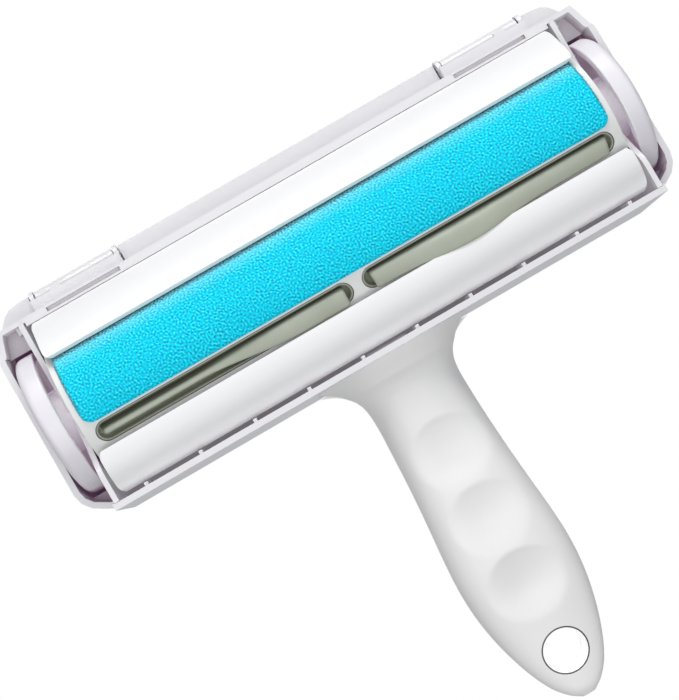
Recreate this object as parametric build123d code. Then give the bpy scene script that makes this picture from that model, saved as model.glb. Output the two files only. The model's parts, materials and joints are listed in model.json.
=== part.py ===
from build123d import *
import math
import os

os.makedirs("parts", exist_ok=True)

# A pet-hair roller, in millimetres, lying working face down as it is used on a sofa.
# X runs along the head, +Y is the hinge side of the lid, the handle runs towards -Y, +Z is the lid.
# Everything is drawn about the drum's axis (y 0, z 0) and moved by `place` when it is written.

# ---- driving dimensions ------------------------------------------------------------------
axis_y = 52.15           # the drum's axis in the finished frame
axis_z = 22.6            # so that the crown of the pile touches the floor

half_length = 97.5       # head, outer end face
wall = 1.8
front_y = 31.2           # outer face of the front long wall
rear_y = -31.0           # outer face of the rear long wall at the parting line
rear_rim_y = -29.2       # outer face of the rear wall at its working edge
low_edge = -8.0          # working edge of the frame on the hinge side
end_edge = -9.6          # working edge of the outer end walls, at the handle side
high_edge = -20.0        # working edge of the rear wall between the bearing plates
part_front = 0.0         # parting line with the lid, at the front wall
part_rear = 12.0         # and at the rear wall
lid_gap = 0.35

plate_in = 85.9          # bearing plates, inner and outer face
plate_out = 87.4
bearing_r = 9.7
hub_r = 9.6

drum_r = 21.4
drum_wall = 2.2
drum_half = 85.2
pile_r = 22.6            # crown of the pile
fabric_half_angle = 41.0
fabric_half = 83.6
rest_tip = 28.4          # the drum rests tipped this far towards the hinge side
slot_angle = 53.4        # centre of each flap slot from the middle of the fabric
slot_near = 1.6          # slot ends, from the middle of the head
slot_far = 82.4
slot_wide = 6.7

wheel_r = 21.8
wheel_in = 88.5
wheel_out = 94.6
wheel_dish = 3.4         # depth of the hollow in the wheel's inner face
ridge_y = 8.6            # small ridge along the hub
ridge_z = -3.8
well_r = 22.9

hinge_y = 34.4
hinge_z = 1.2
hinge_near = 53.2        # the two posts of each hinge, from the middle of the head
hinge_far = 81.8
post = 1.3
pin_r = 1.2
barrel_r = 2.6

rib_count = 10
rib_pitch = 17.2
rib_thick = 1.1
rib_end_y = -26.4
rim_in_y = 28.25         # inner edge of the thick rim along the front wall

hole_y = -127.2
hole_r = 6.45
neck_half = 14.3
skin = 2.3
dimple_y = -62.6
dimple_pitch = 21.1
seam_z = -1.5            # parting line between the two handle shells

# the lid's outer profile, front edge over the top to the rear edge, as (y, z)
lid_curve = [
    (36.9, 0.5), (37.6, 5.0), (37.0, 12.0), (34.0, 20.5), (27.5, 29.0), (17.0, 35.4), (4.0, 38.4),
    (-9.0, 37.0), (-19.5, 31.6), (-26.5, 24.0), (-30.3, 16.5), (-31.0, 12.4),
]
lid_end_round = 17.0

# the handle's sections as (y, half width, underside, top)
handle_sections = [
    (-31.2, 24.5, -14.6, 11.0),
    (-32.4, 21.3, -14.4, 10.9),
    (-34.6, 18.0, -13.8, 10.7),
    (-38.0, 15.4, -13.0, 10.4),
    (-43.0, neck_half, -12.2, 10.2),
    (-53.0, 14.4, -11.8, 10.2),
    (-65.0, 15.0, -11.6, 10.8),
    (-78.0, 16.0, -11.4, 11.6),
    (-91.0, 17.2, -11.0, 12.0),
    (-101.0, 17.6, -10.2, 11.8),
    (-111.0, 16.8, -8.8, 10.8),
    (-120.5, 14.8, -7.2, 9.2),
    (-129.0, 12.0, -5.8, 7.4),
    (-135.5, 8.8, -4.8, 5.8),
    (-139.6, 5.4, -4.0, 4.4),
    (-141.9, 2.2, -2.8, 2.4),
]

# outer curves of the two scraper lips as (y, z)
front_skin = [(28.0, -8.3), (25.6, -11.1), (22.3, -14.1), (19.0, -16.6), (16.6, -18.0)]
rear_skin = [(-13.2, -20.5), (-16.8, -21.0), (-20.4, -20.2), (-23.6, -18.3), (-26.1, -15.6)]
lip_thick = 1.5
front_lip_half = 84.5
rear_lip_half = 84.7


# ---- small helpers -----------------------------------------------------------------------
def place(shape):
    return Pos(0, axis_y, axis_z) * shape


def save(shape, name):
    export_step(Compound(children=[place(s) for s in shape.solids()]), "parts/" + name + ".step")


def closed_yz(points):
    return make_face(Plane.YZ * Polyline(*points, close=True))


def prism_x(face, x0, x1):
    return extrude(Pos(x0, 0, 0) * face, x1 - x0, dir=(1, 0, 0))


def box_between(x0, x1, y0, y1, z0, z1):
    centre = Pos((x0 + x1) / 2, (y0 + y1) / 2, (z0 + z1) / 2)
    return centre * Box(x1 - x0, y1 - y0, z1 - z0)


def tube_x(r_out, r_in, x0, x1):
    turned = Pos((x0 + x1) / 2, 0, 0) * Rot(0, 90, 0)
    return turned * (Cylinder(r_out, x1 - x0) - Cylinder(r_in, x1 - x0 + 2))


def rod_x(r, x0, x1, y=0.0, z=0.0):
    return Pos((x0 + x1) / 2, y, z) * Rot(0, 90, 0) * Cylinder(r, x1 - x0)


def mirrored(shape):
    return mirror(shape, about=Plane.YZ)


def soften(shape, edges, radius):
    """Rounds the edges by the radius, or by less where the shape does not allow it."""
    for share in (1.0, 0.6, 0.3):
        try:
            rounded = fillet(edges, radius * share)
        except Exception:
            continue
        if rounded.is_valid and rounded.volume > 0:
            return rounded
    return shape


def inset(points, d):
    """The points of an open curve moved d to its right-hand side."""
    moved = []
    for i, (a, b) in enumerate(points):
        a0, b0 = points[max(i - 1, 0)]
        a1, b1 = points[min(i + 1, len(points) - 1)]
        run = math.hypot(a1 - a0, b1 - b0)
        moved.append((a + d * (b1 - b0) / run, b - d * (a1 - a0) / run))
    return moved


def parting(y):
    return part_front + (part_rear - part_front) * (front_y - y) / (front_y - rear_y)


# ---- the head's outline in plan, shared by frame and lid -----------------------------------
def plan_outline(d):
    """Half lengths and depths of the head, d inside its outer faces."""
    corner = [(84.0, 37.6), (88.0, 37.0), (91.4, 34.4), (94.4, 30.0), (96.7, 23.5), (half_length, 16.0)]
    if d:
        corner = inset(corner, d)
        corner[0] = (84.0, 37.6 - d)
        corner[-1] = (half_length - d, 16.0)
    side = Spline(*corner, tangents=[(1, 0), (0, -1)])
    heel = [(half_length, 16.0), (half_length, -19.6), (96.7, -22.8)]
    heel += [(94.6, -25.4), (90.8, -27.7), (88.2, -28.9)]
    if d:
        heel = inset(heel, d)
        heel[0] = (half_length - d, 16.0)
    heel_line = Polyline(*heel, (87.0 - d * 0.5, rear_y + d), (0, rear_y + d))
    top = Line((0, 37.6 - d), (84.0, 37.6 - d))
    half = make_face(top + side + heel_line + Line((0, rear_y + d), (0, 37.6 - d)))
    return half + mirror(half, about=Plane.YZ)


def plan_prism(d):
    return extrude(Pos(0, 0, -60) * plan_outline(d), 160)


# ---- housing frame -------------------------------------------------------------------------
def build_frame():
    front_corners = [(front_y - 0.4, low_edge), (front_y, part_front), (rear_y, part_rear)]
    middle = closed_yz([(rear_rim_y, high_edge), (-21.0, high_edge), (0.0, low_edge)] + front_corners)
    rim_end_y = rear_rim_y + (rear_y - rear_rim_y) * (end_edge - high_edge) / (part_rear - high_edge)
    ends = closed_yz([(rim_end_y, end_edge), (12.6, low_edge)] + front_corners)
    outer = prism_x(middle, -plate_out - 0.6, plate_out + 0.6) + prism_x(ends, -half_length, half_length)
    outer = outer & plan_prism(0)
    hollow_side = closed_yz([
        (rear_rim_y + wall, -40),
        (rear_rim_y + wall, high_edge),
        (rear_y + wall, part_rear),
        (rear_y + wall, 60),
        (front_y - wall, 60),
        (front_y - wall, -40),
    ])
    hollow = prism_x(hollow_side, -half_length, half_length) & plan_prism(wall)
    frame = outer - hollow

    # the wheel wells: a flat ledge fore and aft of each wheel and a curved back behind it
    above = box_between(80, 100, -40, 40, 0, 40)
    well = tube_x(well_r + 1.4, well_r, plate_out + 0.05, 95.0) & above & plan_prism(wall + 0.5)
    foot = box_between(plate_out + 0.05, 96.2, well_r - 0.1, front_y - 1.2, -1.4, 0.1)
    foot += box_between(plate_out + 0.05, 96.2, rear_y + 1.2, -well_r + 0.1, -1.4, 0.1)
    foot += tube_x(well_r + 1.4, well_r, plate_out + 0.05, 96.2) & box_between(80, 100, -40, 40, -1.4, 1.2)
    well += foot & plan_prism(0.8)
    frame += well + mirrored(well)

    # seats that carry the bearing plates
    seat = box_between(plate_out + 0.05, plate_out + 1.6, front_y - 4.0, front_y - 1.2, low_edge + 2.5, 0.2)
    seat += box_between(plate_out + 0.05, plate_out + 1.6, rear_y + 1.4, rear_y + 4.6, end_edge + 0.6, 0.2)
    seat = seat & plan_prism(0.8)
    frame += seat + mirrored(seat)

    # thin bridges between the rear wall and the rear scraper lip
    for k in range(rib_count):
        x = rib_pitch * (k - (rib_count - 1) / 2)
        frame += box_between(x - rib_thick / 2, x + rib_thick / 2, rear_rim_y + 1.0, rib_end_y, -18.2, -9.0)

    # a thick rim along the front wall that meets the front lip
    frame += box_between(-plate_in + 0.4, plate_in - 0.4, rim_in_y, front_y - 1.0, low_edge, low_edge + 2.6)

    # hinge: posts, a flange under the barrel, and a groove in the rim
    for s in (-1, 1):
        for x in (hinge_near + post / 2, hinge_far - post / 2):
            ear = rod_x(barrel_r + 0.5, x - post / 2, x + post / 2, hinge_y, hinge_z)
            web = box_between(x - post / 2, x + post / 2, front_y - 1.0, hinge_y, hinge_z - 5.4, hinge_z + 0.8)
            both = ear + web
            frame += both if s > 0 else mirrored(both)
        flange = box_between(hinge_near, hinge_far, front_y - 1.0, hinge_y - 0.1, -4.2, -2.8)
        nub = box_between(71.8, 75.1, hinge_y - 0.2, hinge_y + 1.1, -4.2, -3.0)
        groove = box_between(hinge_near + 1.6, hinge_far - 3.4, 28.95, 30.15, -20, low_edge + 1.0)
        frame += flange + nub if s > 0 else mirrored(flange + nub)
        frame -= groove if s > 0 else mirrored(groove)
        bore = rod_x(pin_r, hinge_near - 1, hinge_far + 1, hinge_y, hinge_z)
        frame -= bore if s > 0 else mirrored(bore)

    # the latch bar passes through the rear wall
    frame -= box_between(-4.9, 4.9, rear_y - 2, rear_y + 4, 2.6, 6.6)
    return frame


# ---- bearing plates: the inner end walls -----------------------------------------------------
def build_plate():
    rear_in = rear_rim_y + wall + 0.1
    edge = Spline((-1.0, -9.6), (-9.0, -12.2), (-15.5, -17.2), (-21.0, -19.6), tangents=[(-1, 0), (-1, 0)])
    loop = edge
    loop += Polyline((-21.0, -19.6), (rear_in, -19.6), (rear_in - 0.9, 5.0), (-20.0, 14.0))
    loop += Line((-20.0, 14.0), (20.0, 14.0))
    loop += Polyline((20.0, 14.0), (front_y - wall - 0.15, 0.6), (front_y - wall - 0.15, -9.6), (-1.0, -9.6))
    flat = make_face(Plane.YZ * loop)
    plate = prism_x(flat, plate_in, plate_out)
    plate += rod_x(well_r + 1.4, plate_in, plate_out) & box_between(80, 90, -40, 40, 0, 40)
    plate -= rod_x(bearing_r, plate_in - 1, plate_out + 1)
    return plate & plan_prism(wall + 0.1)


# ---- the two scraper lips ---------------------------------------------------------------------
def lip_plate(skin_points, thickness, half, corner):
    outer = Spline(*skin_points)
    inner_points = list(reversed(inset(skin_points, thickness)))
    inner = Spline(*inner_points)
    ends = Line(skin_points[-1], inner_points[0]) + Line(inner_points[-1], skin_points[0])
    face = make_face(Plane.YZ * (outer + inner + ends))
    plate = prism_x(face, -half, half)
    long_way = [p[0] for p in skin_points]
    mid, wide = (min(long_way) + max(long_way)) / 2, max(long_way) - min(long_way)
    trim = Pos(0, mid, -60) * RectangleRounded(2 * half, wide + 1.6, corner)
    return plate & extrude(trim, 100)


# ---- the drum, drawn with the fabric facing straight down -------------------------------------
def tipped(shape):
    return Rot(rest_tip, 0, 0) * shape


def across_slot(side, height):
    """A plane square to the radius through the middle of the slots of one side."""
    turn = Rot(side * slot_angle, 0, 0)
    return turn * Pos(0, 0, -height) * Rot(180, 0, 0)


def slot_prism(side, x_side, length, width, low, high):
    mid = x_side * (slot_near + slot_far) / 2
    flat = Pos(mid, 0, 0) * SlotOverall(length, width)
    return across_slot(side, low) * extrude(flat, high - low)


def build_drum_half(lower):
    keep = box_between(-100, 100, -40, 40, -40, -0.05) if lower else box_between(-100, 100, -40, 40, 0.05, 40)
    shell = tube_x(drum_r, drum_r - drum_wall, -drum_half, drum_half)
    for s in (-1, 1):
        x0, x1 = sorted((s * (drum_half - 1.8), s * drum_half))
        shell += tube_x(drum_r - drum_wall + 0.3, 8.1, x0, x1)
    shell = shell & keep
    if lower:
        full = slot_far - slot_near
        for side in (-1, 1):
            for s in (-1, 1):
                shell -= slot_prism(side, s, full, slot_wide, drum_r - 1.0, 30)
                shell -= slot_prism(side, s, full - 1.6, slot_wide - 1.6, 14, 30)
    return shell


def build_fabric():
    ring = tube_x(pile_r, drum_r + 0.02, -fabric_half, fabric_half)
    wide = 2 * (pile_r - 0.5) * math.sin(math.radians(fabric_half_angle))
    trim = extrude(Pos(0, 0, -30) * RectangleRounded(2 * fabric_half, wide, 3.4), 28)
    return ring & trim


def build_flap(side, x_side):
    """Rubber flap: a flange inside the drum, a plug in the slot and a blade that leans outwards."""
    full = slot_far - slot_near
    flap = slot_prism(side, x_side, full + 1.4, slot_wide + 0.9, 17.2, 18.6)
    flap += slot_prism(side, x_side, full - 2.2, slot_wide - 2.2, 18.5, 19.9)
    lean = -side
    blade_outline = [
        (-1.5 * lean, 19.7),
        (-0.3 * lean, 19.7),
        (2.3 * lean, 21.2),
        (2.0 * lean, 22.2),
        (0.6 * lean, 21.6),
    ]
    flat = make_face(Plane.YZ * Polyline(*[(t, -d) for t, d in blade_outline], close=True))
    x0, x1 = sorted((x_side * 4.2, x_side * 80.6))
    blade = Rot(side * slot_angle, 0, 0) * prism_x(flat, x0, x1)
    return flap + blade


def build_wheel():
    disc = rod_x(wheel_r, wheel_in, wheel_out)
    outer_edge = [e for e in disc.edges().filter_by(GeomType.CIRCLE) if e.center().X > wheel_out - 0.1]
    disc = fillet(outer_edge, 2.2)
    inner_edge = [e for e in disc.edges().filter_by(GeomType.CIRCLE) if abs(e.center().X - wheel_in) < 0.1]
    disc = fillet(inner_edge, 0.5)
    disc -= tube_x(19.4, hub_r, wheel_in - 1, wheel_in + wheel_dish)
    disc += rod_x(hub_r, drum_half + 0.1, wheel_in + 0.5)
    disc += rod_x(0.8, plate_out + 0.25, wheel_in + wheel_dish + 0.1, ridge_y, ridge_z)
    disc += rod_x(8.0, drum_half - 4.0, drum_half + 0.2)
    disc -= rod_x(17.5, wheel_out - 0.6, wheel_out + 1)
    return disc


# ---- the lid over the dust bin -----------------------------------------------------------------
def lid_block(d):
    """The outer or, d inside it, the inner form of the lid, down past the parting line."""
    curve = lid_curve
    if d:
        curve = [(y, z) for y, z in inset(list(reversed(lid_curve)), d)]
        curve = list(reversed(curve))
    dome = Spline(*curve)
    skirt = [(curve[-1][0], -30), (curve[0][0], -30)]
    face = make_face(Plane.YZ * (dome + Polyline(curve[-1], *skirt, curve[0])))
    body = prism_x(face, -half_length, half_length)
    top = max(z for _, z in curve) + 0.5
    ends = Plane.XZ * Pos(0, top - 60) * RectangleRounded(2 * (half_length - d), 120, lid_end_round - d)
    return body & plan_prism(d) & extrude(ends, 60, both=True)


def build_lid():
    under = closed_yz([
        (-60, -60),
        (-60, parting(-60) + lid_gap),
        (front_y - 1.9, parting(front_y - 1.9) + lid_gap),
        (front_y - 1.9, 0.6),
        (front_y + 0.6, 0.6),
        (60, 0.6),
        (60, -60),
    ])
    under = prism_x(under, -120, 120)
    lid = lid_block(0) - lid_block(wall) - under

    for s in (-1, 1):
        notch = box_between(hinge_near - 0.5, hinge_far + 0.5, front_y - 1.0, 50, -10, 7.0)
        leaf_flat = closed_yz([
            (hinge_y - 1.0, hinge_z + 1.2),
            (hinge_y + barrel_r, hinge_z),
            (37.5, 6.8),
            (37.2, 10.5),
            (35.0, 10.2),
        ])
        x0, x1 = hinge_near + post + 0.35, hinge_far - post - 0.35
        leaf = prism_x(leaf_flat, x0, x1)
        leaf += rod_x(barrel_r, x0, x1, hinge_y, hinge_z)
        leaf -= rod_x(pin_r + 0.08, x0 - 1, x1 + 1, hinge_y, hinge_z)
        lid -= notch if s > 0 else mirrored(notch)
        lid += leaf if s > 0 else mirrored(leaf)

    # the tongue behind the latch bar
    tongue = box_between(-6.5, 6.5, -28.3, -26.7, 1.2, 20.0)
    tongue -= box_between(-4.2, 4.2, -30, -27.5, 3.0, 6.4)
    lid += tongue & lid_block(0.4)

    # shelf that closes the gap between the lid's skirt and the frame's front wall
    shelf = box_between(-100, 100, front_y + 0.5, 50, 0.6, 2.3) & lid_block(0.5)
    for s in (-1, 1):
        notch = box_between(hinge_near - 0.5, hinge_far + 0.5, front_y - 1.0, 50, -10, 7.0)
        shelf -= notch if s > 0 else mirrored(notch)
    lid += shelf
    return lid


def build_pins():
    one = rod_x(pin_r - 0.01, hinge_near - 0.1, hinge_far + 0.1, hinge_y, hinge_z)
    return one + mirrored(one)


# ---- handle -------------------------------------------------------------------------------------
def oval(half, low, high, d, n=24):
    """A rounded section of the handle, d inside its skin, as a closed ring of points."""
    ring = []
    mid = seam_z
    for k in range(n):
        a = 2 * math.pi * k / n
        c, s = math.cos(a), math.sin(a)
        x = (half - d) * math.copysign(abs(c) ** 0.8, c)
        reach = (high - mid - d) if s > 0 else (mid - low - d)
        z = mid + reach * math.copysign(abs(s) ** 0.8, s)
        ring.append((x, z))
    return ring


def handle_form(d, sections):
    rings = []
    for y, half, low, high in sections:
        plane = Plane(origin=(0, y, 0), x_dir=(1, 0, 0), z_dir=(0, -1, 0))
        wire = Spline(*oval(half, low, high, d), periodic=True)
        rings.append(plane * make_face(wire))
    return loft(rings)


def dimple(k, more):
    """A finger dimple in the underside, or the same hollow grown by some millimetres."""
    y = dimple_y - dimple_pitch * k
    low = -11.6 + (0, 0.2, 0.9)[k]
    ball = Rot(0, 90, 0) * Sphere(1)
    return Pos(0, y, low - 0.9) * scale(ball, by=(13.5 + more, 10.4 + more, 3.0 + more))


def build_handle():
    body = handle_form(0, handle_sections)
    core = handle_form(skin, [s for s in handle_sections if s[0] > -118])
    core += box_between(-9.5, 9.5, -38.0, -30.0, -8.0, 6.9)
    for k in range(3):
        core -= dimple(k, 2.0)
    body -= core
    body -= Pos(0, hole_y, 0) * Cylinder(hole_r, 60)
    for k in range(3):
        body -= dimple(k, 0)
    # pocket and slot for the lid latch
    body -= box_between(-7.6, 7.6, -50.6, -33.4, 8.7, 20)
    body -= box_between(-3.4, 3.4, -47.8, -36.8, 4, 20)
    # wall that the latch spring pushes against
    body += box_between(-4.5, 4.5, -54.6, -52.95, 1.0, 9.0)
    split = box_between(-60, 60, -160, 0, seam_z, 60)
    upper = body & split
    lower = body - split
    return lower, upper


def build_latch():
    pad = Pos(0, -40.3, 9.0) * extrude(RectangleRounded(14.0, 12.6, 3.0), 2.6)
    top_edges = pad.edges().group_by(Axis.Z)[-1]
    pad = soften(pad, top_edges, 0.9)
    for k in range(4):
        pad -= Pos(0, -37.2 - 2.1 * k, 11.75) * Rot(0, 90, 0) * Cylinder(0.45, 10.0)
    neck = box_between(-3.0, 3.0, -44.4, -37.4, 5.5, 9.2)
    bar = box_between(-4.4, 4.4, -45.0, -33.2, 3.1, 6.1)
    tip = box_between(-3.6, 3.6, -33.4, -28.8, 3.4, 5.9)
    return pad + neck + bar + tip


def build_spring():
    turns, radius, wire_r = 7, 1.25, 0.28
    y0, y1 = -52.6, -45.3
    path = Helix(pitch=(y1 - y0) / turns, height=y1 - y0, radius=radius)
    section = Plane(origin=path @ 0, z_dir=path % 0) * Circle(wire_r)
    coil = sweep(section, path)
    return Pos(0, y0, 4.6) * Rot(-90, 0, 0) * coil


# ---- write every part -----------------------------------------------------------------------------
save(build_frame(), "housing_frame")
right_plate = build_plate()
save(right_plate, "bearing_plate_right")
save(mirrored(right_plate), "bearing_plate_left")
save(lip_plate(front_skin, lip_thick, front_lip_half, 2.6), "front_lip")
save(lip_plate(rear_skin, lip_thick, rear_lip_half, 3.4), "rear_lip")

save(tipped(build_drum_half(True)), "drum_shell")
save(tipped(build_drum_half(False)), "drum_back")
save(tipped(build_fabric()), "lint_fabric")
for label, side in (("rear", -1), ("front", 1)):
    for hand, x_side in (("left", -1), ("right", 1)):
        save(tipped(build_flap(side, x_side)), "flap_" + label + "_" + hand)
right_wheel = build_wheel()
save(right_wheel, "end_wheel_right")
save(mirrored(right_wheel), "end_wheel_left")

save(build_lid(), "dust_lid")
save(build_pins(), "hinge_pins")
lower_handle, upper_handle = build_handle()
save(lower_handle, "handle_lower")
save(upper_handle, "handle_upper")
save(build_latch(), "lid_latch")
save(build_spring(), "latch_spring")
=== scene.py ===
"""Looks of the pet-hair roller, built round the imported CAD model.

Points are given in millimetres from the drum's axis and turned into the frame's metres by at(). The roller
lies working face down, as it is stored, and the camera looks up at that working face.
"""
import json
import math

import bmesh
import bpy
import numpy as np
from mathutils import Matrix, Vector


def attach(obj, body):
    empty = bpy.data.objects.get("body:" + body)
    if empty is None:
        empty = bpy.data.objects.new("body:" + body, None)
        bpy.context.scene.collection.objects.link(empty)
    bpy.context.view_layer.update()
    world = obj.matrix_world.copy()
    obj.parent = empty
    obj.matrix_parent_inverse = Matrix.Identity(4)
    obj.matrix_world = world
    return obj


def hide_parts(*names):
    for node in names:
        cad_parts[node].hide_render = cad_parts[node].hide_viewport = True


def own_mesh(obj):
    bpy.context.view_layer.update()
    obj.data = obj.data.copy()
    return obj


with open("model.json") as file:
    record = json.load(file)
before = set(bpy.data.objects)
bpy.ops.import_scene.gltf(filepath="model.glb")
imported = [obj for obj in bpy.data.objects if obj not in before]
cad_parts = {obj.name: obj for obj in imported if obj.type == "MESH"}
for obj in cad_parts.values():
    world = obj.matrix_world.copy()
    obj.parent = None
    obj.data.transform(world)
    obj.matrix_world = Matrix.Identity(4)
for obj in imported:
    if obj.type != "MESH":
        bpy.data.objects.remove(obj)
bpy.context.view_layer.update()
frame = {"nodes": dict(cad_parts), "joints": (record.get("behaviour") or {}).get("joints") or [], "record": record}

MM = 0.001
SHARP_ANGLE, CAD_SHARP_ANGLE = 40, 32             # degrees between faces that meet in a visible edge
MOULD_EDGE = 0.4                                  # rounding of a moulded edge, in millimetres
NODES = frame["nodes"]
AXIS = Vector(next(j["pos_m"] for j in frame["joints"] if j["name"] == "drum_rock"))
noise_seed = np.random.default_rng(7)

# sizes that more than one piece needs, in millimetres from the drum's axis
HOLE_Y, HOLE_R = -127.2, 6.45                     # the hanging hole
HEAD_HALF = 97.5                                  # half the head's length
HINGE_Y, HINGE_H = 34.4, 1.2                      # the lid's hinge
HINGE_NEAR, HINGE_FAR, HINGE_POST = 53.2, 81.8, 1.3
BARREL_R, PIN_R = 2.6, 1.2


# ---- places --------------------------------------------------------------------------------
def at(x, y, h):
    """A point given in millimetres from the drum's axis, h towards the lid."""
    return AXIS + Vector((x, y, h)) * MM


# ---- camera --------------------------------------------------------------------------------
CAMERA_PLACE = (0.03247, 0.02199, -0.39268)
CAMERA_TURN = (-177.571, 1.787, -149.822)          # degrees


def make_camera():
    """Placed by matching the model's straight edges, slots and hole to where the photograph shows them."""
    cam = bpy.data.cameras.new("camera")
    cam.lens = 74.2
    cam.sensor_width = 36.0
    cam.clip_start = 0.01
    cam.clip_end = 50.0
    obj = bpy.data.objects.new("camera", cam)
    bpy.context.scene.collection.objects.link(obj)
    obj.location = CAMERA_PLACE
    obj.rotation_euler = [math.radians(turn) for turn in CAMERA_TURN]
    bpy.context.scene.camera = obj


# ---- light and floor -------------------------------------------------------------------------
FILL_STEEP = (0.05, 0.75)          # steepness of a ray over which the fill light grows
FILL_STRENGTH = (0.12, 0.62)
FLOOR_HALF = 12.0                  # all of the floor in metres
FLOOR_DROP = 0.0004
SHADOW_REACH = 0.11
SHADOW_OPEN = (0.1, 1.0)           # share of open sky, and the floor's brightness for it
SHADOW_TONE = (0.30, 0.86)
SHADOW_FADE = (0.15, 0.90)         # how far out the shadowed floor turns into the white background
LIGHT_CENTRE_Y = -10.0


def set_range(node, source, target):
    """Sets which span of values a Map Range node turns into which other one."""
    node.inputs["From Min"].default_value, node.inputs["From Max"].default_value = source
    node.inputs["To Min"].default_value, node.inputs["To Max"].default_value = target


def softbox(name, place, target, size, power):
    data = bpy.data.lights.new(name, "AREA")
    data.shape = "RECTANGLE"
    data.size, data.size_y = size
    data.energy = power
    obj = bpy.data.objects.new(name, data)
    bpy.context.scene.collection.objects.link(obj)
    obj.location = place
    obj.rotation_euler = (Vector(target) - Vector(place)).to_track_quat("-Z", "Y").to_euler()
    obj.visible_camera = False
    return obj


def make_world():
    """White where the camera sees it; as a light, weak from the sides and stronger from above and below."""
    world = bpy.data.worlds.new("studio")
    bpy.context.scene.world = world
    world.use_nodes = True
    tree = world.node_tree
    tree.nodes.clear()
    out = tree.nodes.new("ShaderNodeOutputWorld")
    seen = tree.nodes.new("ShaderNodeBackground")
    seen.inputs["Color"].default_value = (1.0, 1.0, 1.0, 1)
    fill = tree.nodes.new("ShaderNodeBackground")
    fill.inputs["Color"].default_value = (0.96, 0.97, 1.0, 1)
    way = tree.nodes.new("ShaderNodeTexCoord")
    split = tree.nodes.new("ShaderNodeSeparateXYZ")
    height = tree.nodes.new("ShaderNodeMath")
    height.operation = "ABSOLUTE"
    share = tree.nodes.new("ShaderNodeMapRange")
    share.interpolation_type = "SMOOTHSTEP"
    set_range(share, FILL_STEEP, FILL_STRENGTH)
    tree.links.new(way.outputs["Generated"], split.inputs[0])
    tree.links.new(split.outputs["Z"], height.inputs[0])
    tree.links.new(height.outputs[0], share.inputs["Value"])
    tree.links.new(share.outputs[0], fill.inputs["Strength"])
    path = tree.nodes.new("ShaderNodeLightPath")
    mix = tree.nodes.new("ShaderNodeMixShader")
    tree.links.new(path.outputs["Is Camera Ray"], mix.inputs[0])
    tree.links.new(fill.outputs[0], mix.inputs[1])
    tree.links.new(seen.outputs[0], mix.inputs[2])
    tree.links.new(mix.outputs[0], out.inputs["Surface"])


def make_floor():
    """A pale floor that is seen from above only, because the camera looks up through it. Its contact shadow is
    painted: the floor glows, less where little open sky reaches it, and evenly white further out.
    """
    mesh = bpy.data.meshes.new("floor")
    r = FLOOR_HALF
    mesh.from_pydata([(-r, -r, 0), (r, -r, 0), (r, r, 0), (-r, r, 0)], [], [(0, 1, 2, 3)])
    floor = bpy.data.objects.new("floor", mesh)
    bpy.context.scene.collection.objects.link(floor)
    floor.location.z = -FLOOR_DROP
    mat = bpy.data.materials.new("floor")
    mat.use_nodes = True
    tree = mat.node_tree
    tree.nodes.clear()
    out = tree.nodes.new("ShaderNodeOutputMaterial")
    # painted shadow: the floor's glow is dimmed by its share of open sky
    near = tree.nodes.new("ShaderNodeAmbientOcclusion")
    near.samples = 8
    near.inputs["Distance"].default_value = SHADOW_REACH
    shade = tree.nodes.new("ShaderNodeMapRange")
    set_range(shade, SHADOW_OPEN, SHADOW_TONE)
    where = tree.nodes.new("ShaderNodeTexCoord")
    away = tree.nodes.new("ShaderNodeVectorMath")
    away.operation = "LENGTH"
    share = tree.nodes.new("ShaderNodeMapRange")
    share.interpolation_type = "SMOOTHSTEP"
    set_range(share, SHADOW_FADE, (0.0, 1.0))
    white = tree.nodes.new("ShaderNodeMix")
    white.inputs["B"].default_value = 1.0
    fade = tree.nodes.new("ShaderNodeEmission")
    clear = tree.nodes.new("ShaderNodeBsdfTransparent")
    side = tree.nodes.new("ShaderNodeNewGeometry")
    mix = tree.nodes.new("ShaderNodeMixShader")
    tree.links.new(where.outputs["Object"], away.inputs[0])
    tree.links.new(away.outputs["Value"], share.inputs["Value"])
    tree.links.new(near.outputs["AO"], shade.inputs["Value"])
    tree.links.new(share.outputs[0], white.inputs["Factor"])
    tree.links.new(shade.outputs[0], white.inputs["A"])
    tree.links.new(white.outputs[0], fade.inputs["Strength"])
    tree.links.new(side.outputs["Backfacing"], mix.inputs[0])
    tree.links.new(fade.outputs[0], mix.inputs[1])
    tree.links.new(clear.outputs[0], mix.inputs[2])
    tree.links.new(mix.outputs[0], out.inputs["Surface"])
    mesh.materials.append(mat)
    floor.visible_shadow = False
    floor.visible_diffuse = False
    floor.visible_glossy = False


def make_lights():
    middle = at(0, LIGHT_CENTRE_Y, 0)
    softbox("key", middle + Vector((-0.08, 0.74, -0.36)), middle, (0.45, 0.30), 4.4)
    softbox("fill_below", middle + Vector((0.15, -0.30, -0.75)), middle, (0.7, 0.7), 2.2)
    top = softbox("top", middle + Vector((0.10, 0.12, 0.90)), middle, (0.6, 0.6), 3.2)
    rim = softbox("top_rim", middle + Vector((-0.45, 0.60, 0.60)), middle, (0.4, 0.4), 1.2)
    top.visible_glossy = False      # upright walls would mirror these two at the silhouette
    rim.visible_glossy = False


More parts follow.
